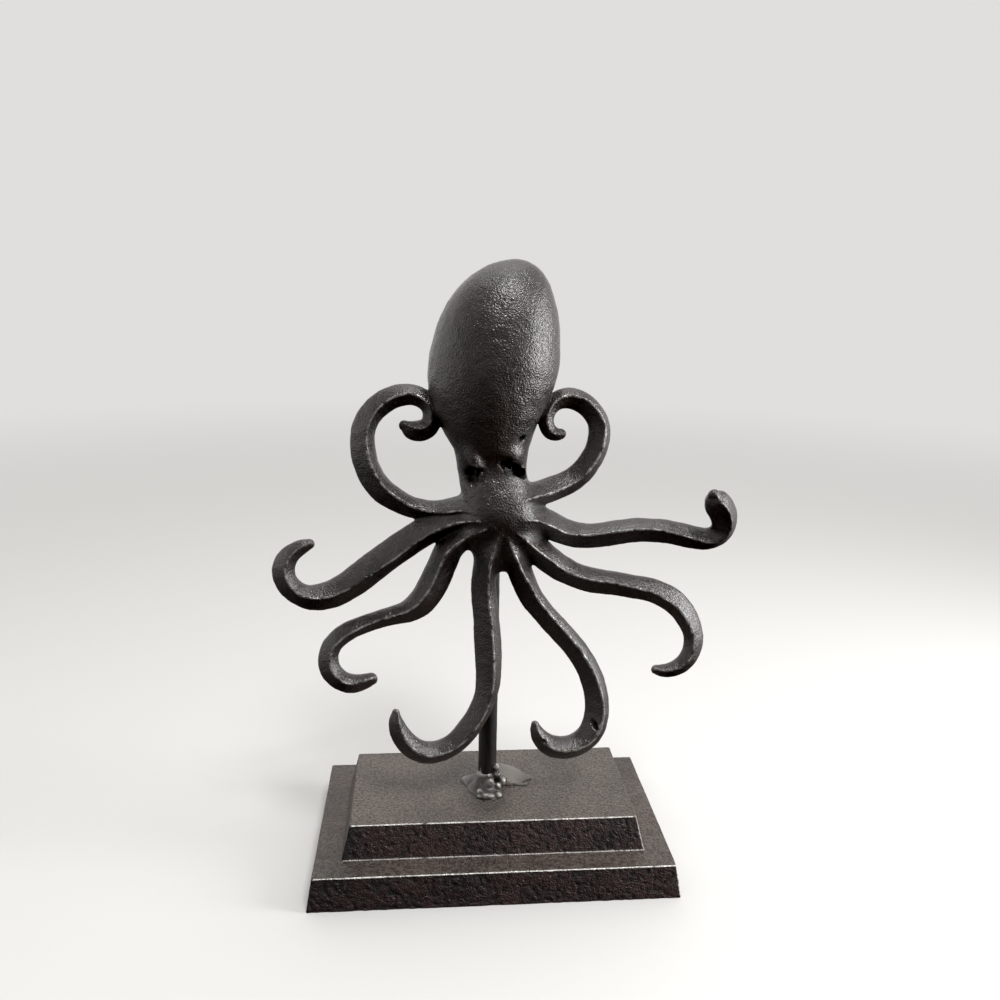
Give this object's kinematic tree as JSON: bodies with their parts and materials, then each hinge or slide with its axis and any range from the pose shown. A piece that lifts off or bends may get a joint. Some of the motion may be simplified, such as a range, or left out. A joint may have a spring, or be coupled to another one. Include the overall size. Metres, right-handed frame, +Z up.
{
  "type": "octopus figurine",
  "caption": "Dark cast-iron octopus with curling, hooked arms on a round post, welded to a two-step rectangular base; a free-standing table ornament",
  "frame": {"origin": "centre of the base's underside, on the plane that it stands on", "axes": "+X to the right as seen by a viewer who faces the octopus, +Y away from that viewer, +Z up"},
  "size_m": [0.186, 0.09, 0.2533],
  "materials": {
    "iron_octopus": "satin",
    "iron_base": "matte",
    "steel_post": "satin",
    "weld_metal": "satin"
  },
  "bodies": {
    "root": {"base_plinth": "iron_base", "post": "steel_post", "post_foot_weld": "weld_metal", "foot_weld_runout": "weld_metal", "post_top_weld": "weld_metal", "head_mantle": "iron_octopus", "arm_hub": "iron_octopus", "eye_left": "iron_octopus", "eye_right": "iron_octopus", "arm_upper_left": "iron_octopus", "arm_left": "iron_octopus", "arm_lower_left": "iron_octopus", "arm_bottom_left": "iron_octopus", "arm_bottom_right": "iron_octopus", "arm_lower_right": "iron_octopus", "arm_right": "iron_octopus", "arm_upper_right": "iron_octopus"}
  },
  "joints": []
}
